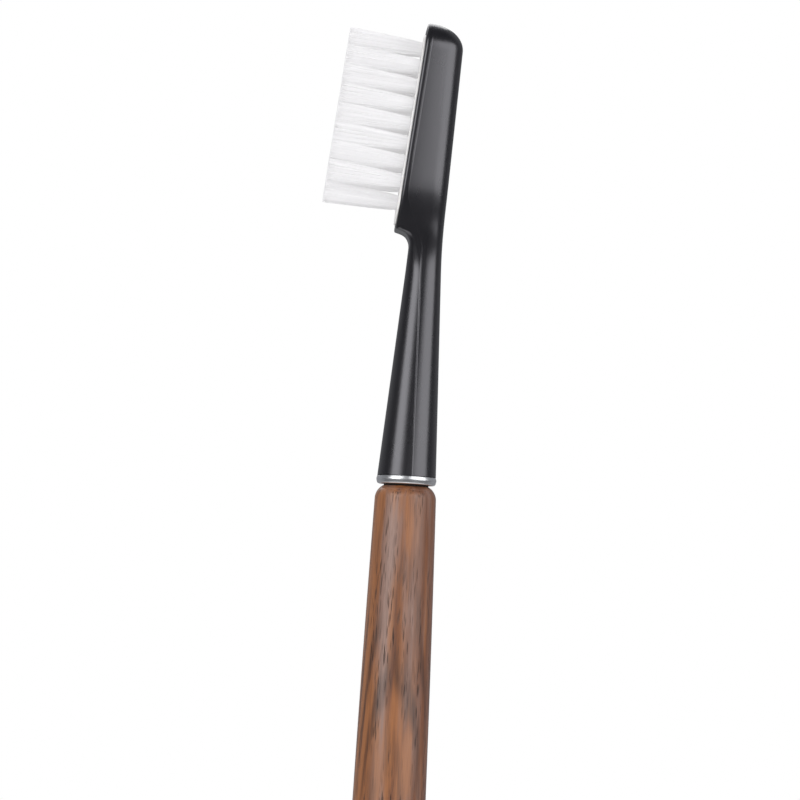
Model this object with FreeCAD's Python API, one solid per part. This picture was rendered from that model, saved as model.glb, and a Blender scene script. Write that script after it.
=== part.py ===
"""Manual toothbrush with a turned wooden handle and a screw-on head.

The brush stands on its butt: +Z runs up the handle's axis, the bristles face -X, and Y is the width.
The origin is the centre of the flat on the butt. Lengths are in millimetres and angles in degrees.
"""

import FreeCAD, Part
import math
import os

# Handle, turned from one piece of walnut
handle_length = 112.1
handle_swell_diameter = 11.8
shoulder_radius = 2.3
butt_round = 3.4

# Chrome ring, and how far wood and neck step out and in beside it
ring_diameter = 9.0
ring_height = 1.25
ring_lower_round = 0.45
ring_upper_round = 0.12
wood_step = 0.1
neck_step = 0.1

# Thread between head and handle, its form in shares of the pitch
thread_diameter = 3.9
thread_pitch = 0.7
thread_depth_share = 0.57
thread_crest_share = 0.11
thread_flank_angle = 30.0
thread_clearance = 0.07
thread_embed = 0.05

# Brass bush glued into the handle
bush_wall = 1.05
bush_length = 9.0
bush_groove_width = 0.8
bush_groove_depth = 0.25
bush_groove_shares = (0.25, 0.5, 0.75)
glue_gap = 0.03

# Rubber washer between wood and ring
washer_cover = 0.35
washer_thickness = 0.25
washer_margin = 0.1

# Steel stud moulded into the neck
shank_step = 0.05
shank_clearance = 0.1
stud_reach = 7.7
stud_tip_chamfer = 0.4
stud_relief = 0.9
anchor_flats = 5.0
anchor_length = 6.0
anchor_height = 4.0
anchor_groove_width = 1.2
anchor_groove_depth = 0.5

# Spigot that centres the neck in the ring
spigot_diameter = 6.0
spigot_length = 0.5
spigot_clearance = 0.08

# Neck, from the ring up to the throat
throat_height = 34.2
throat_front = 1.55
throat_back = 3.42
throat_width = 5.4

# Head: chin, cheeks that widen to the full width, straight blade and rounded crown
chin_rise = 2.45
cheek_rise = 6.35
front_at_chin = 3.82
front_tilt = 6.0
back_at_chin = 3.44
back_tilt = 3.07
front_edge_round = 0.5
back_edge_round = 2.2
crown_side_round = 4.6
crown_back_round = 4.2
crown_front_round = 0.6
crown_flat = 0.06
crown_tilt = 7.0
rim_chin = 1.05
rim_tip = 1.75
rim_side = 0.7

# White plate that carries the tufts
plate_corner = 4.2
plate_thickness = 1.5
plate_proud = 0.25
plate_edge_round = 0.12
plate_gap = 0.04
plate_chin_margin = 2.33
plate_tip_margin = 1.17
plate_side_margin = 0.55

# Tufts, in rows across the plate
tufts_per_row = (2, 4, 4, 4, 4, 4, 4, 4, 2)
tuft_diameter = 2.0
tuft_row_gap = 0.925
tuft_side_gap = 0.3
tuft_height = 11.2
tuft_tip_gap = 0.08
tuft_hole_gap = 0.02
tuft_splay = 1.2

# Mat of melted tuft ends behind the plate
mat_thickness = 0.6
mat_margin = 0.15
mat_corner = 2.8
mat_gap = 0.1

# One overrun serves all cuts
overrun = 1.0

# How the moulding is drawn through its sections
full_round_share = 0.96
chin_round_share = 0.4
crown_round_share = 0.85
chin_section_count = 7
cheek_section_count = 8
crown_section_count = 8
loft_degree = 3

full_turn = 360.0
hexagon_sides = 6

# Sizes and heights that follow from those above
handle_top_diameter = ring_diameter + 2 * wood_step
neck_base_diameter = ring_diameter - 2 * neck_step
thread_core_diameter = thread_diameter - 2 * thread_depth_share * thread_pitch
bush_diameter = thread_diameter + 2 * bush_wall
washer_diameter = bush_diameter + 2 * washer_cover
handle_flat_diameter = washer_diameter + 2 * washer_margin
shank_diameter = thread_diameter + 2 * shank_step
stud_hole_diameter = shank_diameter + 2 * shank_clearance
stud_tip = handle_length - stud_reach
thread_start = stud_tip + stud_tip_chamfer + thread_pitch / 2
ring_seat = handle_length + washer_thickness
neck_seat = ring_seat + ring_height
row_count = len(tufts_per_row)
column_count = max(tufts_per_row)
tuft_pitch = tuft_diameter + tuft_row_gap
tuft_spread = tuft_diameter + tuft_side_gap
field_length = tuft_pitch * (row_count - 1) + tuft_diameter
field_width = tuft_spread * (column_count - 1) + tuft_diameter
plate_length = plate_chin_margin + field_length + plate_tip_margin
plate_width = field_width + 2 * plate_side_margin
plate_back = plate_proud - plate_thickness
head_width = plate_width + 2 * rim_side
field_middle = rim_chin + plate_chin_margin + field_length / 2
chin_height = throat_height + chin_rise
cheek_height = chin_height + cheek_rise
face_length = rim_chin + plate_length + rim_tip
tip_height = chin_height + face_length * math.cos(math.radians(front_tilt))
crown_height = tip_height - crown_side_round


def vector(x, y, z):
    """A point or direction."""
    return FreeCAD.Vector(x, y, z)


def revolved(points):
    """Turn a closed outline of (radius, height) points about the Z axis."""
    corners = [vector(radius, 0, height) for radius, height in points]
    outline = Part.makePolygon(corners + corners[:1])
    return Part.Face(outline).revolve(vector(0, 0, 0), vector(0, 0, 1), full_turn)


def rod(diameter, bottom, top):
    """A round bar on the Z axis between two heights."""
    return Part.makeCylinder(diameter / 2, top - bottom, vector(0, 0, bottom))


def thread_ridge(start, length, core_radius, extra):
    """A right-hand thread as a swept ridge on a core, its flanks moved outwards by extra."""
    crest = thread_diameter / 2 + extra
    root = core_radius - thread_embed
    half_crest = thread_crest_share * thread_pitch / 2
    rise = math.tan(math.radians(thread_flank_angle))
    half_root = half_crest + extra + (thread_diameter / 2 - root) * rise
    corners = [
        vector(root, 0, -half_root),
        vector(crest, 0, -half_crest),
        vector(crest, 0, half_crest),
        vector(root, 0, half_root),
    ]
    profile = Part.makePolygon(corners + corners[:1])
    helix = Part.makeHelix(thread_pitch, length, thread_diameter / 2)
    ridge = Part.Wire(helix).makePipeShell([profile], True, True)
    ridge.translate(vector(0, 0, start))
    return ridge


def handle():
    """Turned walnut handle: flat butt, long swelling side, rounded shoulder, bored top."""
    swell = handle_swell_diameter / 2
    flat = handle_flat_diameter / 2
    top = handle_top_diameter / 2
    cosine = 1 - (top - flat) / shoulder_radius
    shoulder_drop = shoulder_radius * math.sqrt(1 - cosine**2)
    shoulder = handle_length - shoulder_drop
    half_turn = math.acos(cosine) / 2
    quarter = butt_round * math.sqrt(0.5)
    side_run = shoulder - butt_round
    side_radius = (side_run**2 + (swell - top) ** 2) / (2 * (swell - top))
    middle_sag = side_radius - math.sqrt(side_radius**2 - (side_run / 2) ** 2)
    foot = vector(swell - butt_round, 0, 0)
    butt_middle = vector(swell - butt_round + quarter, 0, butt_round - quarter)
    butt_end = vector(swell, 0, butt_round)
    side_middle = vector(swell - middle_sag, 0, butt_round + side_run / 2)
    side_end = vector(top, 0, shoulder)
    shoulder_middle = vector(
        top - shoulder_radius + shoulder_radius * math.cos(half_turn),
        0,
        shoulder + shoulder_radius * math.sin(half_turn),
    )
    rim = vector(flat, 0, handle_length)
    edges = [
        Part.LineSegment(vector(0, 0, 0), foot),
        Part.Arc(foot, butt_middle, butt_end),
        Part.Arc(butt_end, side_middle, side_end),
        Part.Arc(side_end, shoulder_middle, rim),
        Part.LineSegment(rim, vector(0, 0, handle_length)),
        Part.LineSegment(vector(0, 0, handle_length), vector(0, 0, 0)),
    ]
    outline = Part.Wire([edge.toShape() for edge in edges])
    body = Part.Face(outline).revolve(vector(0, 0, 0), vector(0, 0, 1), full_turn)
    bore = rod(bush_diameter + 2 * glue_gap, handle_length - bush_length, handle_length + overrun)
    return body.cut(bore)


def handle_bush():
    """Brass bush with an inside thread and grooves that key it into the glue."""
    bottom = handle_length - bush_length
    bush = rod(bush_diameter, bottom, handle_length)
    for share in bush_groove_shares:
        middle = bottom + bush_length * share
        low = middle - bush_groove_width / 2
        high = middle + bush_groove_width / 2
        groove = rod(bush_diameter + overrun, low, high)
        core = rod(bush_diameter - 2 * bush_groove_depth, low, high)
        bush = bush.cut(groove.cut(core))
    bore_diameter = thread_core_diameter + 2 * thread_clearance
    bore = rod(bore_diameter, bottom - overrun, handle_length + overrun)
    turns_below = math.ceil((thread_start - bottom + overrun) / thread_pitch)
    low_turn = thread_start - turns_below * thread_pitch
    length = handle_length + overrun - low_turn
    return bush.cut(bore.fuse(thread_ridge(low_turn, length, bore_diameter / 2, thread_clearance)))


def seal_washer():
    """Flat black washer between wood and ring."""
    ring = rod(washer_diameter, handle_length, ring_seat)
    return ring.cut(rod(stud_hole_diameter, 0, neck_seat))


def collar_ring():
    """Chrome ring, rounded below, with a recess above for the neck's spigot."""
    outer = rod(ring_diameter, ring_seat, neck_seat)
    lower = [edge for edge in outer.Edges if edge.BoundBox.ZMax < ring_seat + ring_height / 2]
    outer = outer.makeFillet(ring_lower_round, lower)
    upper = [edge for edge in outer.Edges if edge.BoundBox.ZMin > neck_seat - ring_upper_round]
    outer = outer.makeFillet(ring_upper_round, upper)
    recess_floor = neck_seat - spigot_length - spigot_clearance
    recess = rod(spigot_diameter + 2 * spigot_clearance, recess_floor, neck_seat + overrun)
    bore = rod(stud_hole_diameter, 0, neck_seat + overrun)
    return outer.cut(recess).cut(bore)


def hexagon_bar(flats, bottom, top):
    """A six-sided bar on the Z axis, measured across its flats."""
    radius = flats / 2 / math.cos(math.pi / hexagon_sides)
    turns = [math.radians(full_turn * side / hexagon_sides) for side in range(hexagon_sides)]
    corners = [vector(radius * math.cos(turn), radius * math.sin(turn), bottom) for turn in turns]
    face = Part.Face(Part.makePolygon(corners + corners[:1]))
    return face.extrude(vector(0, 0, top - bottom))


def stud_blank():
    """The stud without its thread: grooved anchor above, plain shank, thinner core below."""
    anchor_bottom = neck_seat + anchor_height
    anchor_top = anchor_bottom + anchor_length
    anchor_middle = anchor_bottom + anchor_length / 2
    groove_low = anchor_middle - anchor_groove_width / 2
    groove_high = anchor_middle + anchor_groove_width / 2
    anchor = hexagon_bar(anchor_flats, anchor_bottom, anchor_top)
    ring = rod(anchor_flats + overrun, groove_low, groove_high)
    waist = rod(anchor_flats - 2 * anchor_groove_depth, groove_low, groove_high)
    anchor = anchor.cut(ring.cut(waist))
    shank = rod(shank_diameter, ring_seat, anchor_bottom)
    core = thread_core_diameter / 2
    point = core - stud_tip_chamfer
    shoulder = stud_tip + stud_tip_chamfer
    stem = revolved([(0, stud_tip), (point, stud_tip), (core, shoulder), (core, ring_seat), (0, ring_seat)])
    return anchor.fuse([shank, stem])


def neck_stud():
    """Steel stud: the blank with a right-hand thread on its lower end."""
    length = stud_reach - stud_tip_chamfer - stud_relief
    ridge = thread_ridge(thread_start, length, thread_core_diameter / 2, 0)
    return stud_blank().fuse(ridge)


def front_line(height):
    """Distance of the head's front plane before the handle's axis."""
    return front_at_chin - (height - chin_height) * math.tan(math.radians(front_tilt))


def front_edge(height):
    """Front of the moulding: straight neck, swept chin, tilted head face, rounded crown."""
    base = neck_base_diameter / 2
    neck = base + (throat_front - base) * height / throat_height
    if height <= throat_height:
        return -neck
    if height < chin_height:
        share = (height - throat_height) / chin_rise
        return -(neck + (front_line(height) - neck) * share**2)
    rise = max(height - (tip_height - crown_front_round), 0)
    rounding = crown_front_round - math.sqrt(crown_front_round**2 - rise**2)
    return rounding - front_line(height)


def back_edge(height):
    """Back of the moulding: straight neck, slightly tilted head, rounded crown."""
    base = neck_base_diameter / 2
    if height <= throat_height:
        return base + (throat_back - base) * height / throat_height
    if height < chin_height:
        return throat_back + (back_at_chin - throat_back) * (height - throat_height) / chin_rise
    lean = math.tan(math.radians(back_tilt))
    line = back_at_chin + (height - chin_height) * lean
    rise = max(height - (tip_height - crown_back_round), 0)
    return line - crown_back_round + math.sqrt(crown_back_round**2 - rise**2)


def half_width(height):
    """Half the width: tapering neck, curve out to the head's sides, rounded crown."""
    base = neck_base_diameter / 2
    throat = throat_width / 2
    wide = head_width / 2
    if height <= throat_height:
        return base + (throat - base) * height / throat_height
    if height < cheek_height:
        share = (height - throat_height) / (cheek_height - throat_height)
        return throat + (wide - throat) * share * share * (3 - 2 * share)
    rise = max(height - crown_height, 0)
    return wide - crown_side_round + math.sqrt(crown_side_round**2 - rise**2)


def edge_rounds(height):
    """Radii of the front and back corners of a section."""
    full = full_round_share * min(half_width(height), (back_edge(height) - front_edge(height)) / 2)
    chin_full = chin_round_share * full
    if height <= throat_height:
        return full, full
    if height < chin_height:
        share = (height - throat_height) / chin_rise
        return full + (chin_full - full) * share, full
    share = min((height - chin_height) / cheek_rise, 1)
    ease = (1 - share) ** 3
    front = front_edge_round + (chin_full - front_edge_round) * ease
    back = back_edge_round + (full - back_edge_round) * (1 - share)
    crown = crown_round_share * full
    return min(front, crown), min(back, crown)


def crown_slope(height):
    """Fall of a section from front to back: level up to the crown, then more and more tilted."""
    share = max(height - crown_height, 0) / crown_side_round
    return math.tan(math.radians(crown_tilt)) * share


def section(height):
    """Closed outline of the moulding at a height: four sides joined by four round corners."""
    front = front_edge(height)
    back = back_edge(height)
    half = half_width(height)
    front_round, back_round = edge_rounds(height)
    slope = crown_slope(height)
    bend = math.sqrt(0.5)
    corners = (
        (front, half, front_round, 1, True),
        (back, half, back_round, -1, False),
        (back, -half, back_round, -1, True),
        (front, -half, front_round, 1, False),
    )
    arcs = []
    for x, y, radius, inward, from_face in corners:
        side = math.copysign(1, y)
        centre_x = x + inward * radius
        centre_y = y - side * radius
        points = [
            (x, centre_y),
            (centre_x - inward * bend * radius, centre_y + side * bend * radius),
            (centre_x, y),
        ]
        if not from_face:
            points.reverse()
        arcs.append([vector(u, v, neck_seat + height - slope * (u - front)) for u, v in points])
    edges = []
    for index, arc in enumerate(arcs):
        following = arcs[(index + 1) % len(arcs)]
        edges.append(Part.Arc(*arc).toShape())
        edges.append(Part.LineSegment(arc[2], following[0]).toShape())
    return Part.Wire(edges)


def spaced(low, high, count):
    """Heights at even steps from low to high."""
    return [low + (high - low) * step / (count - 1) for step in range(count)]


def crown_heights():
    """Heights up the crown at even turns of its side corners."""
    last = math.asin(1 - crown_flat / crown_side_round)
    turns = [last * step / (crown_section_count - 1) for step in range(crown_section_count)]
    return [crown_height + crown_side_round * math.sin(turn) for turn in turns]


def stretch(heights):
    """A closed stretch of the moulding through its sections: straight between two, else smooth."""
    outlines = [section(height) for height in heights]
    return Part.makeLoft(outlines, True, len(heights) == 2, False, loft_degree)


def head_frame():
    """Placement of the head's front plane: X up the face, Y the width, Z out of the face."""
    tilt = FreeCAD.Rotation(vector(0, 1, 0), front_tilt)
    up = tilt.multVec(vector(0, 0, 1))
    out = tilt.multVec(vector(-1, 0, 0))
    corner = vector(front_edge(chin_height), 0, neck_seat + chin_height)
    axes = FreeCAD.Matrix(
        up.x, 0, out.x, corner.x, up.y, 1, out.y, corner.y, up.z, 0, out.z, corner.z, 0, 0, 0, 1
    )
    return FreeCAD.Placement(axes)


def rounded_slab(low, high, half, corner, bottom, top):
    """A slab on the head's front plane with rounded corners, low to high along the face."""
    box = Part.makeBox(high - low, 2 * half, top - bottom, vector(low, -half, bottom))
    upright = [edge for edge in box.Edges if edge.BoundBox.ZLength > (top - bottom) / 2]
    return box.makeFillet(corner, upright)


def plate_slab(grow, bottom, top):
    """The plate's outline, grown all round, as a slab between two distances from the face."""
    low = rim_chin - grow
    high = rim_chin + plate_length + grow
    return rounded_slab(low, high, plate_width / 2 + grow, plate_corner + grow, bottom, top)


def mat_slab(grow, bottom, top):
    """The mat's outline, grown all round, as a slab between two distances from the face."""
    reach = field_length / 2 + mat_margin + grow
    side = field_width / 2 + mat_margin + grow
    return rounded_slab(field_middle - reach, field_middle + reach, side, mat_corner + grow, bottom, top)


def head_and_neck():
    """Black moulding: round neck, chin and head, with a stepped recess and the stud's cavity."""
    neck = stretch([0, throat_height])
    chin = stretch(spaced(throat_height, chin_height, chin_section_count))
    cheeks = stretch(spaced(chin_height, cheek_height, cheek_section_count))
    blade = stretch([cheek_height, crown_height])
    crown = stretch(crown_heights())
    spigot = rod(spigot_diameter, neck_seat - spigot_length, neck_seat + spigot_length)
    body = neck.fuse([chin, cheeks, blade, crown, spigot])
    plate_recess = plate_slab(plate_gap, plate_back, overrun)
    mat_recess = mat_slab(mat_gap, plate_back - mat_thickness - mat_gap, plate_back + mat_gap)
    for recess in (plate_recess, mat_recess):
        recess.Placement = head_frame()
        body = body.cut(recess)
    return body.cut(stud_blank())


def tuft_places():
    """Row, column and centre on the face of every tuft, from the tip down."""
    for row, count in enumerate(tufts_per_row):
        along = field_middle + tuft_pitch * ((row_count - 1) / 2 - row)
        first = (column_count - count) // 2
        for column in range(first, first + count):
            across = tuft_spread * (column - (column_count - 1) / 2)
            yield row + 1, column + 1, along, across


def tuft_plate():
    """White plate with one hole for each tuft, its front edge slightly rounded."""
    plate = plate_slab(0, plate_back, plate_proud)
    rim = [edge for edge in plate.Edges if edge.BoundBox.ZMin > plate_proud - plate_edge_round]
    plate = plate.makeFillet(plate_edge_round, rim)
    hole_radius = tuft_diameter / 2 + tuft_hole_gap
    hole_depth = plate_thickness + 2 * overrun
    holes = []
    for row, column, along, across in tuft_places():
        start = vector(along, across, plate_back - overrun)
        holes.append(Part.makeCylinder(hole_radius, hole_depth, start))
    plate = plate.cut(holes)
    plate.Placement = head_frame()
    return plate


def fused_mat():
    """Mat of melted tuft ends, locked behind the plate."""
    mat = mat_slab(0, plate_back - mat_thickness, plate_back)
    mat.Placement = head_frame()
    return mat


def oval(along, across, level, length, width):
    """An upright oval on the head's plane, length up the face and width across it."""
    if length >= width:
        curve = Part.Ellipse(vector(0, 0, 0), length / 2, width / 2)
    else:
        curve = Part.Ellipse(vector(0, 0, 0), width / 2, length / 2)
        curve.rotateZ(math.pi / 2)
    wire = Part.Wire(curve.toShape())
    wire.translate(vector(along, across, level))
    return wire


def tuft(along, across):
    """One tuft: a round bundle through the plate that fans out to a flat-trimmed tip."""
    splay_step = tuft_height * math.tan(math.radians(tuft_splay)) / ((column_count - 1) / 2)
    tip_across = across + splay_step * across / tuft_spread
    tip_length = tuft_pitch - tuft_tip_gap
    tip_width = tuft_spread + splay_step - tuft_tip_gap
    foot = oval(along, across, plate_proud, tuft_diameter, tuft_diameter)
    tip = oval(along, tip_across, plate_proud + tuft_height, tip_length, tip_width)
    bundle = Part.makeCylinder(tuft_diameter / 2, plate_thickness, vector(along, across, plate_back))
    solid = bundle.fuse(Part.makeLoft([foot, tip], True, True))
    solid.Placement = head_frame()
    return solid


def write(name, shape):
    """Save one piece under its name."""
    shape.exportStep(os.path.join("parts", name + ".step"))


os.makedirs("parts", exist_ok=True)
write("handle", handle())
write("handle_bush", handle_bush())
write("seal_washer", seal_washer())
write("collar_ring", collar_ring())
write("neck_stud", neck_stud())
write("head_and_neck", head_and_neck())
write("tuft_plate", tuft_plate())
write("fused_mat", fused_mat())
for row, column, along, across in tuft_places():
    write(f"tuft_row{row}_column{column}", tuft(along, across))
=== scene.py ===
import math

import bpy
import numpy as np
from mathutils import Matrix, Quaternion, Vector


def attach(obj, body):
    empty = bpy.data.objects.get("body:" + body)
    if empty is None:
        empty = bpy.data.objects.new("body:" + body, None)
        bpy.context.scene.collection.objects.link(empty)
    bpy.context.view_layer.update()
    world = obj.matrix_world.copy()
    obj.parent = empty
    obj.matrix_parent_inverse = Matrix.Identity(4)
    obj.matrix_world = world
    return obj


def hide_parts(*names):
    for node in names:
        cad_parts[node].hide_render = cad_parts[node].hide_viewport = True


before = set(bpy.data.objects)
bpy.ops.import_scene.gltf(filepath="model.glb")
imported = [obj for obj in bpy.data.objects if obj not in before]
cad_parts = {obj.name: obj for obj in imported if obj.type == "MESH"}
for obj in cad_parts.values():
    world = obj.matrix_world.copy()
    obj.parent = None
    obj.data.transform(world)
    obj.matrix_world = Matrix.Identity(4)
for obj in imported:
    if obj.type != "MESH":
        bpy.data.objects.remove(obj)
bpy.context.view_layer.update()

# Handle: one length of walnut, turned on a lathe, sanded and finished with satin oil.
# The top is bored for the bush, and the butt is well rounded, with a small flat in its middle.
MM = 0.001
HANDLE_LENGTH = 112.1
HANDLE_SWELL = 5.9
HANDLE_TOP = 4.6
HANDLE_FLAT = 3.45
SHOULDER_RADIUS = 2.3
BUTT_ROUND = 3.4
BORE_RADIUS = 3.03
BORE_DEPTH = 9.0
POLE_GAP = 0.6
SHARP_ANGLE = 38.0
WOOD_AROUND = 160
WOOD_TAN = (154, 98, 57)
WOOD_BROWN = (116, 71, 45)
# A light pinkish grey: partly the wood's own colour, partly a painted sheen where the front lamps
# shine.
WOOD_MAUVE_AND_SHEEN = (136, 104, 91)
WOOD_LATE = (67, 41, 29)
WOOD_PORE = (40, 25, 19)
PITH_ACROSS = 0.6
PITH_BEHIND = 13.0
PITH_LEAN = 0.05
PITH_LEVEL = 86.0
GROWTH_RING = 1.15
FIGURE_LEVEL = 81.0
FIGURE_REACH = 20.0
# Shifts streaks and pinkish-grey zones along X, so a pinkish-grey zone lies where the lamps' sheen
# falls.
SHEEN_ZONE_SHIFT = 1.2
# Painted light: how much the streaks turn tan towards -X and brown towards +X per millimetre.
PAINTED_SIDE_LIGHT = 0.03
SLOW_SWAY = 2.6
SLOW_SWAY_GRAIN = (9, 9, 70)
QUICK_SWAY = 0.7
QUICK_SWAY_GRAIN = (2.2, 2.2, 22)
STREAK_GRAIN = (1.4, 1.4, 22)
MAUVE_AND_SHEEN_GRAIN = (2.2, 2.2, 28)
LATE_GRAIN = (2.5, 2.5, 30)
FIBRE_GRAIN = (0.2, 0.2, 8)
FIBRE_CONTRAST = 1.3
PORE_GRAIN = (1.4, 1.4, 18)
PORES_PER_MM = (4.4, 4.4, 0.3)
PORE_CORE, PORE_RIM = 0.2, 0.42
WOOD_ROUGHNESS = 0.4
WOOD_OIL = 0.5
WOOD_RELIEF = 0.03


class Tone:
    """A shader node's output: sums with it add Math nodes, and node() adds any other node."""

    def __init__(self, output):
        self.output = output

    def node(self, kind, settings, sockets, wanted=0):
        """Add a node: its settings first, then a value or link for each socket; give an output."""
        tree = self.output.id_data
        made = tree.nodes.new(kind)
        for name, value in settings.items():
            setattr(made, name, value)
        for name, value in sockets.items():
            if isinstance(value, Tone):
                tree.links.new(value.output, made.inputs[name])
            else:
                made.inputs[name].default_value = value
        if isinstance(wanted, tuple):
            return [Tone(made.outputs[name]) for name in wanted]
        return Tone(made.outputs[wanted])

    def math(self, operation, first, second=0.0):
        """A Math node on one or two values."""
        return self.node("ShaderNodeMath", {"operation": operation}, {0: first, 1: second})

    def into(self, node, socket):
        """Link this output to a socket of a node."""
        self.output.id_data.links.new(self.output, node.inputs[socket])

    def __add__(self, other):
        return self.math("ADD", self, other)

    __radd__ = __add__

    def __sub__(self, other):
        return self.math("SUBTRACT", self, other)

    def __rsub__(self, other):
        return self.math("SUBTRACT", other, self)

    def __mul__(self, other):
        return self.math("MULTIPLY", self, other)

    __rmul__ = __mul__

    def __truediv__(self, other):
        return self.math("DIVIDE", self, other)


def finish(name, constants):
    """Start a material: its shader with the constant inputs set, and object coordinates in mm."""
    material = bpy.data.materials.new(name)
    material.use_nodes = True
    tree = material.node_tree
    shader = tree.nodes["Principled BSDF"]
    for socket, value in constants.items():
        shader.inputs[socket].default_value = value
    metres = Tone(tree.nodes.new("ShaderNodeTexCoord").outputs["Object"])
    scaled = {"Vector": metres, "Scale": 1 / MM}
    place = metres.node("ShaderNodeVectorMath", {"operation": "SCALE"}, scaled)
    return material, shader, place


def paint(red, green, blue):
    """A colour of 0 to 255 as the eye reads it, turned into the shader's linear colour."""
    shown = np.array([red, green, blue]) / 255
    linear = np.where(shown > 0.04045, ((shown + 0.055) / 1.055) ** 2.4, shown / 12.92)
    return (*linear.tolist(), 1.0)


def blend(share, first, second):
    """Two colours mixed by a share from 0 to 1."""
    return share.node("ShaderNodeMix", {"data_type": "RGBA"}, {0: share, 6: first, 7: second}, 2)


def cloud(place, grain, detail=2.0):
    """Smooth noise of 0 to 1, its lumps as long as grain along each axis, in millimetres."""
    squeeze = {"Vector": place, "Scale": tuple(1 / length for length in grain)}
    squeezed = place.node("ShaderNodeMapping", {}, squeeze)
    lumps = {"Vector": squeezed, "Scale": 1.0, "Detail": detail}
    return squeezed.node("ShaderNodeTexNoise", {}, lumps, "Fac")


def ease(value, low, high):
    """A smooth step: 0 below low, 1 above high."""
    limits = {"Value": value, "From Min": low, "From Max": high}
    return value.node("ShaderNodeMapRange", {"interpolation_type": "SMOOTHSTEP"}, limits, "Result")


def relief(shader, height, depth):
    """Bump a shader's normal by a height of 0 to 1 that stands for a depth in millimetres."""
    bump = {"Strength": 1.0, "Distance": depth * MM, "Height": height}
    height.node("ShaderNodeBump", {}, bump).into(shader, "Normal")


def arc(centre, radius, start, stop, count):
    """Points of (radius, height) on a circle about centre, from one angle in degrees to another."""
    turn = np.radians(np.linspace(start, stop, count))
    return np.stack([centre[0] + radius * np.cos(turn), centre[1] + radius * np.sin(turn)], axis=1)


def line(first, last, count):
    """Points of (radius, height) at even steps on a straight line."""
    return np.linspace(first, last, count)


def turned(profile, around):
    """Carry a profile round the Z axis: x is radius times cosine, y is radius times sine."""
    turn = np.linspace(0, 2 * math.pi, around, endpoint=False)
    radius, height = profile[:, :1], profile[:, 1:]
    return np.stack([radius * np.cos(turn), radius * np.sin(turn), height + 0 * turn], axis=2)


def ring_faces(rings, around, looped):
    """Four-sided faces between neighbouring rings of a grid, the last joined to the first if looped."""
    ring = np.arange(rings if looped else rings - 1)[:, None]
    step = np.arange(around)[None, :]
    above, beside = (ring + 1) % rings, (step + 1) % around
    here, over = ring * around, above * around
    corners = np.broadcast_arrays(here + step, here + beside, over + beside, over + step)
    return np.stack(corners, axis=-1).reshape(-1, 4)


def piece(name, points, faces, material, sharp=SHARP_ANGLE):
    """An object from points in millimetres, shaded smooth apart from edges sharper than an angle."""
    mesh = bpy.data.meshes.new(name)
    mesh.from_pydata((points * MM).tolist(), [], faces)
    mesh.materials.append(material)
    mesh.polygons.foreach_set("use_smooth", np.ones(len(mesh.polygons), dtype=bool))
    mesh.set_sharp_from_angle(angle=math.radians(sharp))
    made = bpy.data.objects.new(name, mesh)
    bpy.context.scene.collection.objects.link(made)
    return made


def closed_skin(name, grid, poles, material):
    """A grid of rings closed at both ends by a fan to a pole, or end to end if there are no poles."""
    rings, around = grid.shape[:2]
    faces = ring_faces(rings, around, poles is None).tolist()
    points = grid.reshape(-1, 3)
    if poles is not None:
        step = np.arange(around)
        beside = (step + 1) % around
        last = (rings - 1) * around
        count = len(points)
        faces += np.stack([count + 0 * step, beside, step], axis=1).tolist()
        faces += np.stack([count + 1 + 0 * step, last + step, last + beside], axis=1).tolist()
        points = np.concatenate([points, np.array(poles)])
    return piece(name, points, faces, material)


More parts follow.
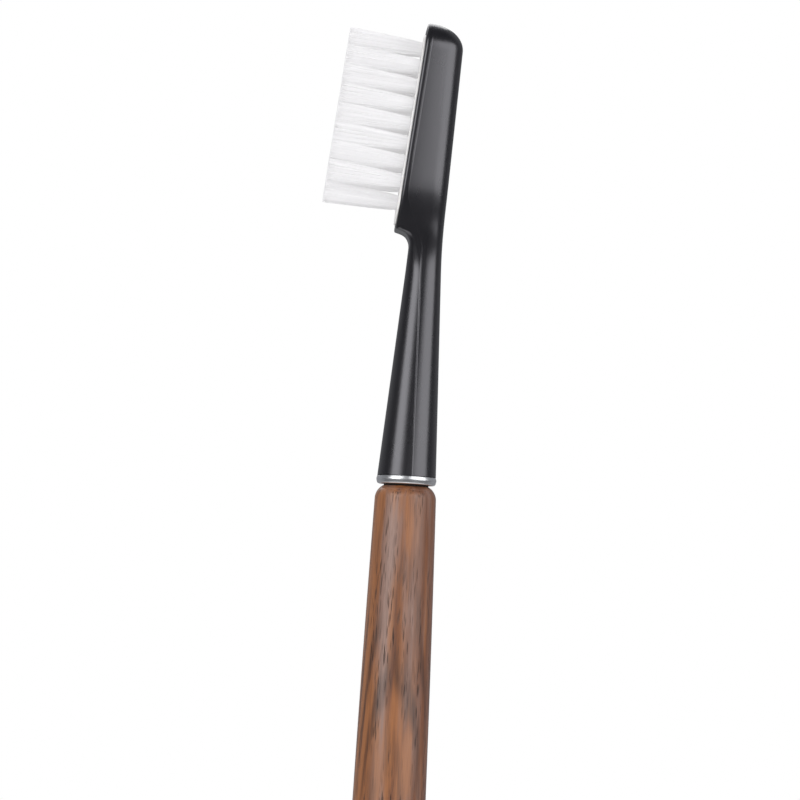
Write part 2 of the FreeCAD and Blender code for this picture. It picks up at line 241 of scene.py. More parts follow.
def walnut():
    """Walnut in satin oil: tan and brown streaks, painted tanner towards -X as light from that side,
    pinkish-grey zones that are partly painted sheen, dark latewood and open pores.

    Growth is the distance from a leaning pith behind the handle, swayed by noise and divided by a
    ring's width, less its whole rings. Latewood lies in the middle of each ring and is darkest round
    one height, where the cut makes a figure. Pores are stretched cells, open in patches."""
    oiled = {"Specular IOR Level": 0.5, "Coat Roughness": 0.32}
    material, shader, place = finish("satin_walnut", oiled)
    x, y, z = place.node("ShaderNodeSeparateXYZ", {}, {"Vector": place}, ("X", "Y", "Z"))
    slow_sway = (cloud(place, SLOW_SWAY_GRAIN) - 0.5) * SLOW_SWAY
    sway = slow_sway + (cloud(place, QUICK_SWAY_GRAIN) - 0.5) * QUICK_SWAY
    behind = y - PITH_BEHIND + (z - PITH_LEVEL) * PITH_LEAN
    across = x - PITH_ACROSS
    distance = place.math("SQRT", across * across + behind * behind) + sway
    growth = place.math("FRACT", distance / GROWTH_RING)
    late = 1 - place.math("ABSOLUTE", growth * 2 - 1)
    # The zones are shifted so that a light pinkish-grey zone lies where the front softboxes' sheen
    # falls on the side facing the camera: partly painted sheen.
    moved = {0: place, 1: (SHEEN_ZONE_SHIFT, 0, 0)}
    zones = place.node("ShaderNodeVectorMath", {"operation": "SUBTRACT"}, moved)
    # Painted light: the streaks lean tan towards the -X side and brown towards +X, as if that side were
    # lit more.
    streak_and_side_light = cloud(zones, STREAK_GRAIN, 5.0) - x * PAINTED_SIDE_LIGHT
    tan_or_brown = blend(ease(streak_and_side_light, 0.36, 0.64), paint(*WOOD_BROWN), paint(*WOOD_TAN))
    mauve_and_sheen = ease(cloud(zones, MAUVE_AND_SHEEN_GRAIN, 4.0), 0.45, 0.64)
    ground = blend(mauve_and_sheen * 0.9, tan_or_brown, paint(*WOOD_MAUVE_AND_SHEEN))
    fibre = cloud(place, FIBRE_GRAIN, 4.0)
    figure = 1 - ease(place.math("ABSOLUTE", z - FIGURE_LEVEL), 0.0, FIGURE_REACH)
    late_patches = ease(cloud(place, LATE_GRAIN), 0.35, 0.65)
    strength = ease(late, 0.2, 1.0) * (0.6 * figure + 0.4 * late_patches)
    grained = blend(strength * 0.8 + (fibre - 0.5) * FIBRE_CONTRAST, ground, paint(*WOOD_LATE))
    stretched = place.node("ShaderNodeMapping", {}, {"Vector": place, "Scale": PORES_PER_MM})
    cells = {"Vector": stretched, "Scale": 1.0, "Randomness": 1.0}
    pore_distance = place.node("ShaderNodeTexVoronoi", {"feature": "F1"}, cells, "Distance")
    open_grain = ease(cloud(place, PORE_GRAIN), 0.4, 0.62)
    pore = (1 - ease(pore_distance, PORE_CORE, PORE_RIM)) * open_grain
    blend(pore * 0.8, grained, paint(*WOOD_PORE)).into(shader, "Base Color")
    (WOOD_ROUGHNESS + (fibre - 0.5) * 0.25 + pore * 0.25).into(shader, "Roughness")
    (WOOD_OIL - pore * 0.4).into(shader, "Coat Weight")
    relief(shader, fibre * 0.25 - pore, WOOD_RELIEF)
    return material


shoulder_cosine = 1 - (HANDLE_TOP - HANDLE_FLAT) / SHOULDER_RADIUS
shoulder_level = HANDLE_LENGTH - SHOULDER_RADIUS * math.sqrt(1 - shoulder_cosine**2)
side_run = shoulder_level - BUTT_ROUND
side_radius = (side_run**2 + (HANDLE_SWELL - HANDLE_TOP) ** 2) / (2 * (HANDLE_SWELL - HANDLE_TOP))
side_turn = math.degrees(math.asin(side_run / side_radius))
handle_profile = np.concatenate([
    line((POLE_GAP, 0), (HANDLE_SWELL - BUTT_ROUND, 0), 5)[:-1],
    arc((HANDLE_SWELL - BUTT_ROUND, BUTT_ROUND), BUTT_ROUND, -90, 0, 25)[:-1],
    arc((HANDLE_SWELL - side_radius, BUTT_ROUND), side_radius, 0, side_turn, 110)[:-1],
    arc((HANDLE_TOP - SHOULDER_RADIUS, shoulder_level), SHOULDER_RADIUS, 0,
        math.degrees(math.acos(shoulder_cosine)), 18)[:-1],
    line((HANDLE_FLAT, HANDLE_LENGTH), (BORE_RADIUS, HANDLE_LENGTH), 3)[:-1],
    line((BORE_RADIUS, HANDLE_LENGTH), (BORE_RADIUS, HANDLE_LENGTH - BORE_DEPTH), 10)[:-1],
    line((BORE_RADIUS, HANDLE_LENGTH - BORE_DEPTH), (POLE_GAP, HANDLE_LENGTH - BORE_DEPTH), 5),
])
handle_poles = [(0, 0, 0), (0, 0, HANDLE_LENGTH - BORE_DEPTH)]
handle = closed_skin("walnut_handle", turned(handle_profile, WOOD_AROUND), handle_poles, walnut())
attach(handle, "handle")
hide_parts("handle")

# Bush: a short brass tube, grooved outside and threaded inside, cut on an automatic lathe.
# It is glued into the bore of the handle, its end level with the wood.
BRASS = (206, 164, 92)
BRASS_DARK = (150, 108, 52)
BRASS_ROUGHNESS = 0.2
TARNISH_GRAIN = (1.5, 1.5, 1.5)
TOOL_MARK_GRAIN = (40, 40, 0.05)
TOOL_MARK_DEPTH = 0.004


def brass():
    """Turned brass: fine rings of the cutting tool along the axis, and a faint tarnish."""
    material, shader, place = finish("turned_brass", {"Metallic": 1.0})
    tarnish = cloud(place, TARNISH_GRAIN, 4.0)
    rings = cloud(place, TOOL_MARK_GRAIN)
    blend(ease(tarnish, 0.4, 0.75) * 0.6, paint(*BRASS), paint(*BRASS_DARK)).into(shader, "Base Color")
    (BRASS_ROUGHNESS + tarnish * 0.2 + rings * 0.08).into(shader, "Roughness")
    relief(shader, rings, TOOL_MARK_DEPTH)
    return material


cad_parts["handle_bush"].data.materials.clear()
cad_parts["handle_bush"].data.materials.append(brass())

# Washer: a flat ring of black rubber, punched from sheet.
# It lies loose between wood and ring, and shows as a thin dark line.
WASHER_RADIUS = 3.35
WASHER_HOLE = 2.1
WASHER_TOP = 112.35
WASHER_ROUND = 0.05
WASHER_AROUND = 96
RUBBER = (30, 29, 28)
RUBBER_WORN = (52, 50, 48)
RUBBER_ROUGHNESS = 0.62
RUBBER_GRAIN = (0.12, 0.12, 0.12)
DUST_GRAIN = (0.9, 0.9, 0.9)
RUBBER_GRAIN_DEPTH = 0.012


def rubber():
    """Matt black rubber with a fine dust in its grain."""
    material, shader, place = finish("black_rubber", {"Specular IOR Level": 0.3})
    grain = cloud(place, RUBBER_GRAIN, 3.0)
    dust = ease(cloud(place, DUST_GRAIN, 3.0), 0.45, 0.8)
    blend(dust * 0.5 + grain * 0.2, paint(*RUBBER), paint(*RUBBER_WORN)).into(shader, "Base Color")
    (RUBBER_ROUGHNESS + grain * 0.25).into(shader, "Roughness")
    relief(shader, grain, RUBBER_GRAIN_DEPTH)
    return material


washer_edge = WASHER_RADIUS - WASHER_ROUND
washer_profile = np.concatenate([
    line((WASHER_HOLE, HANDLE_LENGTH), (washer_edge, HANDLE_LENGTH), 4)[:-1],
    arc((washer_edge, HANDLE_LENGTH + WASHER_ROUND), WASHER_ROUND, -90, 0, 4),
    arc((washer_edge, WASHER_TOP - WASHER_ROUND), WASHER_ROUND, 0, 90, 4),
    line((washer_edge, WASHER_TOP), (WASHER_HOLE, WASHER_TOP), 4)[1:],
])
washer = closed_skin("rubber_washer", turned(washer_profile, WASHER_AROUND), None, rubber())
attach(washer, "handle")
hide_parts("seal_washer")

# Ring: brass turned to shape, polished and chromed, rounded below and crisp above.
# The stud passes through it and clamps it between washer and neck.
RING_RADIUS = 4.5
RING_TOP = 113.6
RING_LOWER_ROUND = 0.4
RING_UPPER_ROUND = 0.2
RING_BULGE = 0.07
RING_EDGE_TURN = 14
RING_AROUND = 192
RING_HOLE = 2.1
RING_RECESS = 3.08
RING_RECESS_FLOOR = 113.02
CHROME = (240, 241, 243)
CHROME_HAZE = (220, 222, 225)
CHROME_ROUGHNESS = 0.24
HAZE_GRAIN = (0.8, 0.8, 0.5)
POLISH_GRAIN = (30, 30, 0.06)
POLISH_DEPTH = 0.0015


def chrome():
    """Bright chrome: polishing marks that run round the ring, and a breath of haze."""
    material, shader, place = finish("bright_chrome", {"Metallic": 1.0})
    haze = cloud(place, HAZE_GRAIN, 3.0)
    marks = cloud(place, POLISH_GRAIN)
    blend(ease(haze, 0.4, 0.8), paint(*CHROME), paint(*CHROME_HAZE)).into(shader, "Base Color")
    (CHROME_ROUGHNESS + haze * 0.12 + marks * 0.06).into(shader, "Roughness")
    relief(shader, marks, POLISH_DEPTH)
    return material


bulge_low, bulge_high = WASHER_TOP + RING_LOWER_ROUND, RING_TOP - RING_UPPER_ROUND
bulge_level = np.linspace(bulge_low, bulge_high, 17)
bulge_share = (2 * bulge_level - bulge_low - bulge_high) / (bulge_high - bulge_low)
lower_edge = RING_RADIUS - RING_BULGE - RING_LOWER_ROUND
upper_edge = RING_RADIUS - RING_BULGE - RING_UPPER_ROUND
ring_profile = np.concatenate([
    line((RING_HOLE, WASHER_TOP), (lower_edge, WASHER_TOP), 5)[:-1],
    arc((lower_edge, bulge_low), RING_LOWER_ROUND, -90, -RING_EDGE_TURN, 13),
    np.stack([RING_RADIUS - RING_BULGE * bulge_share**2, bulge_level], axis=1)[1:-1],
    arc((upper_edge, bulge_high), RING_UPPER_ROUND, RING_EDGE_TURN, 90, 9),
    line((upper_edge, RING_TOP), (RING_RECESS, RING_TOP), 4)[1:],
    line((RING_RECESS, RING_TOP), (RING_RECESS, RING_RECESS_FLOOR), 3)[1:],
    line((RING_RECESS, RING_RECESS_FLOOR), (RING_HOLE, RING_RECESS_FLOOR), 3)[1:],
])
ring = closed_skin("chrome_ring", turned(ring_profile, RING_AROUND), None, chrome())
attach(ring, "collar")
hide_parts("collar_ring")

# Stud: a steel screw with a grooved six-sided end, cold headed and rolled.
# That end is moulded into the neck, and the thread screws into the bush.
STEEL = (176, 178, 182)
STEEL_DARK = (120, 121, 124)
STEEL_ROUGHNESS = 0.24
OIL_GRAIN = (0.9, 0.9, 1.8)
DRAWN_GRAIN = (0.05, 0.05, 3.0)
DRAWN_DEPTH = 0.003


def steel():
    """Plain steel: drawn lines along the thread and a slight oily unevenness."""
    material, shader, place = finish("plain_steel", {"Metallic": 1.0})
    oil = cloud(place, OIL_GRAIN, 3.0)
    drawn = cloud(place, DRAWN_GRAIN)
    blend(ease(oil, 0.35, 0.75), paint(*STEEL), paint(*STEEL_DARK)).into(shader, "Base Color")
    (STEEL_ROUGHNESS + oil * 0.16 + drawn * 0.08).into(shader, "Roughness")
    relief(shader, drawn, DRAWN_DEPTH)
    return material


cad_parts["neck_stud"].data.materials.clear()
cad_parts["neck_stud"].data.materials.append(steel())

# Head and neck: one moulding in glossy black plastic, from a mould of two halves.
# The parting line runs up both sides, and the front has a stepped recess for the plate.
NECK_SEAT = 113.6
NECK_BASE = 4.4
THROAT = 34.2
THROAT_FRONT = 1.55
THROAT_BACK = 3.42
THROAT_HALF = 2.7
CHIN_RISE = 2.45
CHIN = THROAT + CHIN_RISE
CHEEK_RISE = 6.35
CHEEK = CHIN + CHEEK_RISE
CHEEK_RUN_OUT = 2.4
CHEEK_END = CHEEK + CHEEK_RUN_OUT
FRONT_AT_CHIN = 3.82
FACE_TILT = math.radians(6.0)
NAPE_START = 29.56
NAPE_LENGTH = 12.0
BACK_TILT = math.radians(3.07)
HEAD_HALF = 5.7
FRONT_EDGE_ROUND = 0.5
BACK_EDGE_ROUND = 2.2
CROWN_SIDE_ROUND = 4.6
CROWN_BACK_ROUND = 4.2
CROWN_FRONT_ROUND = 0.6
CROWN_FLAT = 0.06
CROWN_FULLNESS = 2.4
CHIN_EDGE = 0.36
CHIN_LIFT = 0.15
CROWN_TILT = math.radians(7.0)
FACE_LENGTH = 31.7
TIP = CHIN + FACE_LENGTH * math.cos(FACE_TILT)
CROWN = TIP - CROWN_SIDE_ROUND
FULL_ROUND = 0.96
CHIN_ROUND = 0.4
CROWN_ROUND = 0.85
PARTING_HEIGHTS = (0, 20, 30, THROAT, 36.0, 38.0, 39.8, 41.5)
PARTING_PLACES = (0.6, 0.44, 0.36, 0.3, -0.1, -1.0, -1.72, -2.0)
PARTING_INSET = 0.9
PARTING_HALF = 0.15
PARTING_HEIGHT = 0.028
PARTING_GUARD = 0.05
PARTING_FADE = 0.75
PARTING_FADE_START = THROAT - 1.0
PARTING_FADE_END = CHEEK_END + 3.0
SIDE_DRAFT = 1.2
OUTLINE_STEPS = (10, 16, 7, 1, 8, 1, 14, 16, 8)
NECK_RINGS = 44
CHIN_RINGS = 24
CHEEK_RINGS = 36
HEAD_RINGS = 34
CROWN_RINGS = 36
CAP_SHARES = (0.75, 0.5, 0.25)
SPIGOT_RADIUS = 3.0
SPIGOT_LENGTH = 0.5
CAVITY_RADIUS = 2.0
CAVITY_TOP = 4.0
BLACK = (13, 12, 16)
BLACK_WARM = (21, 20, 23)
BLACK_ROUGHNESS = 0.24
FLOW_GRAIN = (5, 5, 16)
RIPPLE_GRAIN = (2.5, 2.5, 5)
RIPPLE_DEPTH = 0.012
RECESS_LOW, RECESS_HIGH, RECESS_HALF, RECESS_CORNER = 1.01, 29.99, 5.04, 4.24
RECESS_FLOOR = -1.25
RECESS_OVERRUN = 1.0
MAT_LOW, MAT_HIGH, MAT_HALF, MAT_CORNER = 3.13, 29.03, 4.7, 2.9
MAT_FLOOR = -1.95


def swell(height, low, high):
    """A step with a slow start and a slow end: the share's cube, times ten less fifteen times the
    share plus six times its square."""
    share = np.clip((height - low) / (high - low), 0, 1)
    return share**3 * (10 - 15 * share + 6 * share**2)


def moulding_sizes(height):
    """Front, back, half width and corner radii of the moulding's section at each height.

    The neck tapers straight and swells into the cheeks. The chin sweeps forward by half a square and
    half an eighth power. Sweep and face meet in the lesser of both, rounded: half of their sum less
    the root of their squared gap plus the squared edge. Quarter circles close the crown, the sides' a
    little fuller than round. The nape's slope turns by a smooth step, so its place is that step summed
    along the height: a cube less half a fourth power."""
    slope = NECK_BASE + (THROAT_FRONT - NECK_BASE) * height / THROAT
    face = FRONT_AT_CHIN - (height - CHIN) * math.tan(FACE_TILT)
    share = np.clip((height - THROAT - CHIN_LIFT) / CHIN_RISE, 0, 2)
    sweep = slope + (face - slope) * (share**2 + share**8) / 2
    lift = np.clip(height - (TIP - CROWN_FRONT_ROUND), 0, CROWN_FRONT_ROUND)
    bevel = CROWN_FRONT_ROUND - np.sqrt(CROWN_FRONT_ROUND**2 - lift**2)
    front = bevel - (sweep + face - np.sqrt((sweep - face) ** 2 + CHIN_EDGE**2)) / 2
    lift = np.clip(height - (TIP - CROWN_BACK_ROUND), 0, CROWN_BACK_ROUND)
    neck_slope = (THROAT_BACK - NECK_BASE) / THROAT
    turn = np.clip((height - NAPE_START) / NAPE_LENGTH, 0, 1)
    swung = NAPE_LENGTH * (turn**3 - turn**4 / 2) + np.clip(height - NAPE_START - NAPE_LENGTH, 0, None)
    back = NECK_BASE + neck_slope * height + (math.tan(BACK_TILT) - neck_slope) * swung
    back = back - CROWN_BACK_ROUND + np.sqrt(CROWN_BACK_ROUND**2 - lift**2)
    neck_half = NECK_BASE + (THROAT_HALF - NECK_BASE) * height / THROAT
    cheek_half = neck_half + (HEAD_HALF - neck_half) * swell(height, NAPE_START, CHEEK_END)
    lift = np.clip((height - CROWN) / CROWN_SIDE_ROUND, 0, 1)
    crown_half = HEAD_HALF + CROWN_SIDE_ROUND * ((1 - lift**CROWN_FULLNESS) ** (1 / CROWN_FULLNESS) - 1)
    half = np.where(height < CROWN, cheek_half, crown_half)
    neck_round = FULL_ROUND * (back + slope) / 2
    cheek = np.clip((height - CHIN) / CHEEK_RISE, 0, 1)
    head_front = FRONT_EDGE_ROUND + (CHIN_ROUND * neck_round - FRONT_EDGE_ROUND) * (1 - cheek) ** 3
    throat_round = neck_round * (1 - (1 - CHIN_ROUND) * swell(height, NAPE_START, CHIN))
    front_round = np.where(height < CHIN, throat_round, head_front)
    cheek = cheek * cheek * (3 - 2 * cheek)
    back_round = neck_round + (BACK_EDGE_ROUND - neck_round) * cheek
    limit = (FULL_ROUND + (CROWN_ROUND - 1) * cheek) * np.minimum(half, (back - front) / 2)
    return front, back, half, np.minimum(front_round, limit), np.minimum(back_round, limit)


def parting_place(height, front):
    """How far behind the axis the parting line runs: near the neck's middle, then behind the face."""
    neck = np.interp(height, PARTING_HEIGHTS, PARTING_PLACES)
    share = np.clip((height - PARTING_HEIGHTS[-2]) / (CHEEK - PARTING_HEIGHTS[-2]), 0, 1)
    return neck + (front + PARTING_INSET - neck) * share


def moulding_rings(height):
    """Rings of points round the moulding, one for each height.

    Half an outline is a flat, a quarter circle, a flat, a quarter circle and a flat, measured along
    its length from the middle of the front. Columns crowd at the corners and at the parting line,
    where the skin rises along its normal by a raised cosine, less on the cheek. Behind that line the
    head's sides draw in by half a line and half a square. The other half is its mirror image, and the
    crown's rings slope to the back."""
    front, back, half, front_round, back_round = (size[:, None] for size in moulding_sizes(height))
    flat = half - front_round
    corner = flat + math.pi / 2 * front_round
    side = back - front - front_round - back_round
    rear = corner + side
    rear_corner = rear + math.pi / 2 * back_round
    whole = rear_corner + half - back_round
    place = parting_place(height, front[:, 0])[:, None]
    parting = flat + front_round * np.arccos(np.clip(1 - (place - front) / front_round, 0, 1))
    parting = parting + np.clip(place - front - front_round, 0, side)
    parting = parting + back_round * np.arcsin(np.clip((place - back + back_round) / back_round, 0, 1))
    low, high = parting - PARTING_HALF, parting + PARTING_HALF
    before, after = low - PARTING_GUARD, high + PARTING_GUARD
    knots = [0 * flat, np.minimum(flat, before), np.minimum(corner, before), before, low, high, after,
             np.maximum(rear, after), np.maximum(rear_corner, after), whole]
    runs = []
    for first, last, steps in zip(knots, knots[1:], OUTLINE_STEPS):
        runs.append(first + (last - first) * np.arange(steps) / steps)
    along = np.concatenate(runs + [whole], axis=1)
    front_turn = np.clip((along - flat) / front_round, 0, math.pi / 2)
    rear_turn = np.clip((along - rear) / back_round, 0, math.pi / 2)
    x = front + front_round * (1 - np.cos(front_turn)) + np.clip(along - corner, 0, side)
    x = x + back_round * np.sin(rear_turn)
    y = np.minimum(along, flat) + front_round * np.sin(front_turn)
    y = y - back_round * (1 - np.cos(rear_turn)) - np.clip(along - rear_corner, 0, None)
    offset = np.clip((along - parting) / PARTING_HALF, -1, 1)
    faded = swell(height, PARTING_FADE_START, CHIN)
    on_cheek = faded * (1 - swell(height, CHEEK, PARTING_FADE_END))
    ridge = PARTING_HEIGHT * (1 - PARTING_FADE * on_cheek[:, None])
    rise = ridge * (1 + np.cos(math.pi * offset)) / 2
    x = x + rise * (np.sin(rear_turn) - np.cos(front_turn))
    y = y + rise * (np.sin(front_turn) - 1 + np.cos(rear_turn))
    depth = np.clip((x - place) / (back - place), 0, 1)
    on_head = swell(height[:, None], THROAT, CHEEK - CHEEK_RISE / 2)
    y = y * (1 - SIDE_DRAFT / HEAD_HALF * on_head * (depth + depth**2) / 2)
    x = np.concatenate([x, x[:, -2:0:-1]], axis=1)
    y = np.concatenate([-y, y[:, -2:0:-1]], axis=1)
    slope = math.tan(CROWN_TILT) * np.clip(height - CROWN, 0, None)[:, None] / CROWN_SIDE_ROUND
    return np.stack([x, y, NECK_SEAT + height[:, None] - slope * (x - front)], axis=2)


def round_ring(outline, radius, level):
    """A circle with its points at the same bearings as an outline's."""
    bearing = outline[:, :2] / np.linalg.norm(outline[:, :2], axis=1, keepdims=True)
    return np.concatenate([radius * bearing, np.full((len(outline), 1), level)], axis=1)


def on_face(along, across, out):
    """A place on the head's tilted front plane, measured up it, across it and out of it."""
    x = -FRONT_AT_CHIN + along * math.sin(FACE_TILT) - out * math.cos(FACE_TILT)
    z = NECK_SEAT + CHIN + along * math.cos(FACE_TILT) + out * math.sin(FACE_TILT)
    return np.stack(np.broadcast_arrays(x, across, z), axis=-1)


def face_outline(low, high, half, corner, out, steps=12):
    """A rounded rectangle on the front plane: four quarter circles joined by straight sides."""
    turn = np.linspace(0, math.pi / 2, steps)
    quarters = [(high - corner, half - corner), (low + corner, half - corner),
                (low + corner, corner - half), (high - corner, corner - half)]
    along, across = [], []
    for quarter, (middle, side) in enumerate(quarters):
        along.append(middle + corner * np.cos(turn + quarter * math.pi / 2))
        across.append(side + corner * np.sin(turn + quarter * math.pi / 2))
    return on_face(np.concatenate(along), np.concatenate(across), np.float64(out))


def gloss_black():
    """Glossy black plastic: a faint ripple from the mould, and slight wear in its shine."""
    gloss = {"IOR": 1.55, "Specular IOR Level": 1.0, "Specular Tint": (0.95, 0.94, 1.0, 1.0)}
    material, shader, place = finish("gloss_black_plastic", gloss)
    flow = cloud(place, FLOW_GRAIN, 3.0)
    ripple = cloud(place, RIPPLE_GRAIN, 1.0)
    blend(ease(flow, 0.3, 0.75), paint(*BLACK), paint(*BLACK_WARM)).into(shader, "Base Color")
    (BLACK_ROUGHNESS + flow * 0.08).into(shader, "Roughness")
    relief(shader, ripple, RIPPLE_DEPTH)
    return material


def carve(block, tool):
    """Take a closed tool out of a closed block, and drop the tool."""
    cut = block.modifiers.new("recess", "BOOLEAN")
    cut.operation = "DIFFERENCE"
    cut.solver = "EXACT"
    cut.object = tool
    carved = bpy.data.meshes.new_from_object(block.evaluated_get(bpy.context.evaluated_depsgraph_get()))
    block.modifiers.clear()
    block.data = carved
    bpy.data.objects.remove(tool)


crown_turn = np.linspace(0, math.asin(1 - 2 * CROWN_FLAT / CROWN_SIDE_ROUND), CROWN_RINGS)
moulding_heights = np.concatenate([
    np.linspace(0, THROAT, NECK_RINGS)[:-1],
    np.linspace(THROAT, CHIN, CHIN_RINGS)[:-1],
    np.linspace(CHIN, CHEEK, CHEEK_RINGS)[:-1],
    np.linspace(CHEEK, CROWN, HEAD_RINGS)[:-1],
    CROWN + CROWN_SIDE_ROUND * np.sin(crown_turn),
])
outer = moulding_rings(moulding_heights)
foot_rings = np.stack([
    round_ring(outer[0], CAVITY_RADIUS, NECK_SEAT + CAVITY_TOP),
    round_ring(outer[0], CAVITY_RADIUS, NECK_SEAT - SPIGOT_LENGTH),
    round_ring(outer[0], SPIGOT_RADIUS, NECK_SEAT - SPIGOT_LENGTH),
    round_ring(outer[0], SPIGOT_RADIUS, NECK_SEAT),
])
crown_centre = outer[-1].mean(axis=0) * (1, 0, 1)
crown_lift = np.array([0, 0, CROWN_FLAT])
crown_pole = crown_centre + crown_lift
cap_share = np.array(CAP_SHARES)[:, None, None]
cap_rings = crown_centre + (outer[-1] - crown_centre) * cap_share + crown_lift * (1 - cap_share**2)
moulding_grid = np.concatenate([foot_rings, outer, cap_rings])
moulding_poles = [(0, 0, NECK_SEAT + CAVITY_TOP), tuple(crown_pole)]
black = gloss_black()
head = closed_skin("black_head_and_neck", moulding_grid, moulding_poles, black)

recess_rings = np.stack([
    face_outline(MAT_LOW, MAT_HIGH, MAT_HALF, MAT_CORNER, MAT_FLOOR),
    face_outline(MAT_LOW, MAT_HIGH, MAT_HALF, MAT_CORNER, RECESS_FLOOR),
    face_outline(RECESS_LOW, RECESS_HIGH, RECESS_HALF, RECESS_CORNER, RECESS_FLOOR),
    face_outline(RECESS_LOW, RECESS_HIGH, RECESS_HALF, RECESS_CORNER, RECESS_OVERRUN),
])
recess_middle = (RECESS_LOW + RECESS_HIGH) / 2
recess_poles = [on_face(recess_middle, 0, level) for level in (MAT_FLOOR, RECESS_OVERRUN)]
carve(head, closed_skin("recess_tool", recess_rings, recess_poles, black))
head.data.set_sharp_from_angle(angle=math.radians(SHARP_ANGLE))
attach(head, "brush_head")
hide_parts("head_and_neck")

# Tufts: bundles of white nylon filaments, drawn straight and trimmed flat.
# Each goes through its hole in the plate and fans out to meet its neighbours at the tip.
TUFTS_PER_ROW = (2, 4, 4, 4, 4, 4, 4, 4, 2)
TUFT_COLUMNS = 4
OUTER_ROW = (len(TUFTS_PER_ROW) - 1) / 2
OUTER_COLUMN = (TUFT_COLUMNS - 1) / 2
TUFT_PITCH = 2.925
TUFT_SPREAD = 2.3
FIELD_MIDDLE = 16.08
TUFT_RADIUS = 1.0
TUFT_ROOT = -1.25
PLATE_FRONT = 0.25
TUFT_HEIGHT = 11.2
TUFT_SPLAY = math.radians(1.2)
SPLAY_STEP = TUFT_HEIGHT * math.tan(TUFT_SPLAY) / OUTER_COLUMN
ROW_OVERLAP = 0.28
COLUMN_OVERLAP = 0.02
TIP_LENGTH = TUFT_PITCH + ROW_OVERLAP
TIP_WIDTH = TUFT_SPREAD + SPLAY_STEP + COLUMN_OVERLAP
FILAMENTS = 170
FILAMENT_RADIUS = 0.07
FILAMENT_SIDES = 5
FILAMENT_SHARP_ANGLE = 60.0
FILAMENT_LEVELS = np.array([TUFT_ROOT, PLATE_FRONT, 1.6, 4.2, 7.6, 10.2, 11.39])
FAN_POWER = 0.65
TIP_SCATTER = 0.035
FILAMENT_BOW = 0.025
TRIM_SPREAD = 0.05
TRIM_LEVEL = 9
GOLDEN_TURN = math.pi * (3 - math.sqrt(5))
NYLON = (246, 245, 247)
NYLON_SHADE = (240, 239, 241)
NYLON_ROUGHNESS = 0.36
TUFT_SEED = 32
draws = np.random.default_rng(TUFT_SEED)


def filament_bundle(along, across):
    """Points of one tuft: filaments on a sunflower spiral, straight in the plate, then fanned out.

    A filament's middle goes from its place in the hole to its place in the tip's oval by a power of
    its height, fastest at the plate, with a slight bow of half a sine. Five points go round it at
    each level, and one ends it."""
    count = np.arange(FILAMENTS)
    reach = np.sqrt((count + 0.5) / FILAMENTS)
    bearing = count * GOLDEN_TURN + draws.uniform(0, 2 * math.pi)
    spot = np.stack([reach * np.cos(bearing), reach * np.sin(bearing)], axis=1)
    foot = np.array([along, across]) + spot * (TUFT_RADIUS - FILAMENT_RADIUS)
    tip_middle = np.array([along, across + SPLAY_STEP * across / TUFT_SPREAD])
    tip_size = np.array([TIP_LENGTH, TIP_WIDTH]) / 2 - FILAMENT_RADIUS
    tip_spot = spot + draws.normal(0, TIP_SCATTER, spot.shape)
    tip_spot = tip_spot / np.maximum(np.linalg.norm(tip_spot, axis=1, keepdims=True), 1)
    tip = tip_middle + tip_spot * tip_size
    bow = draws.normal(0, FILAMENT_BOW, spot.shape)
    trim = draws.uniform(-TRIM_SPREAD, 0, FILAMENTS)
    level = np.concatenate([FILAMENT_LEVELS, [PLATE_FRONT + TUFT_HEIGHT]])
    share = np.clip((level - PLATE_FRONT) / TUFT_HEIGHT, 0, 1)[None, :, None]
    middle = foot[:, None] + (tip - foot)[:, None] * share**FAN_POWER
    middle = middle + bow[:, None] * np.sin(math.pi * share)
    out = level[None, :] + trim[:, None] * (level > TRIM_LEVEL)[None, :]
    turn = np.linspace(0, 2 * math.pi, FILAMENT_SIDES, endpoint=False)
    around = FILAMENT_RADIUS * np.stack([np.cos(turn), np.sin(turn)], axis=1)
    walls = middle[:, :-1, None] + around
    wall_points = on_face(walls[..., 0], walls[..., 1], out[:, :-1, None] + 0 * turn)
    end_points = on_face(middle[:, -1, 0], middle[:, -1, 1], out[:, -1])
    return np.concatenate([wall_points.reshape(FILAMENTS, -1, 3), end_points[:, None]], axis=1)


def filament_faces():
    """Faces of all filaments of a tuft: walls between levels, a flat root and a fan at the tip."""
    levels = len(FILAMENT_LEVELS)
    points = levels * FILAMENT_SIDES + 1
    step = np.arange(FILAMENT_SIDES)
    beside = (step + 1) % FILAMENT_SIDES
    last = (levels - 1) * FILAMENT_SIDES
    walls = ring_faces(levels, FILAMENT_SIDES, False)[:, ::-1]
    fan = np.stack([points - 1 + 0 * step, last + beside, last + step], axis=1)
    start = (np.arange(FILAMENTS) * points)[:, None, None]
    faces = []
    for part in (walls, fan, step[None, :]):
        faces += (start + part).reshape(-1, part.shape[1]).tolist()
    return faces


def nylon():
    """White nylon: each filament a little lighter or darker than the next, and silky."""
    material, shader, place = finish("white_nylon", {"IOR": 1.53})
    strand = place.node("ShaderNodeAttribute", {"attribute_name": "strand"}, {}, "Fac")
    blend(strand, paint(*NYLON_SHADE), paint(*NYLON)).into(shader, "Base Color")
    (NYLON_ROUGHNESS + strand * 0.12).into(shader, "Roughness")
    return material


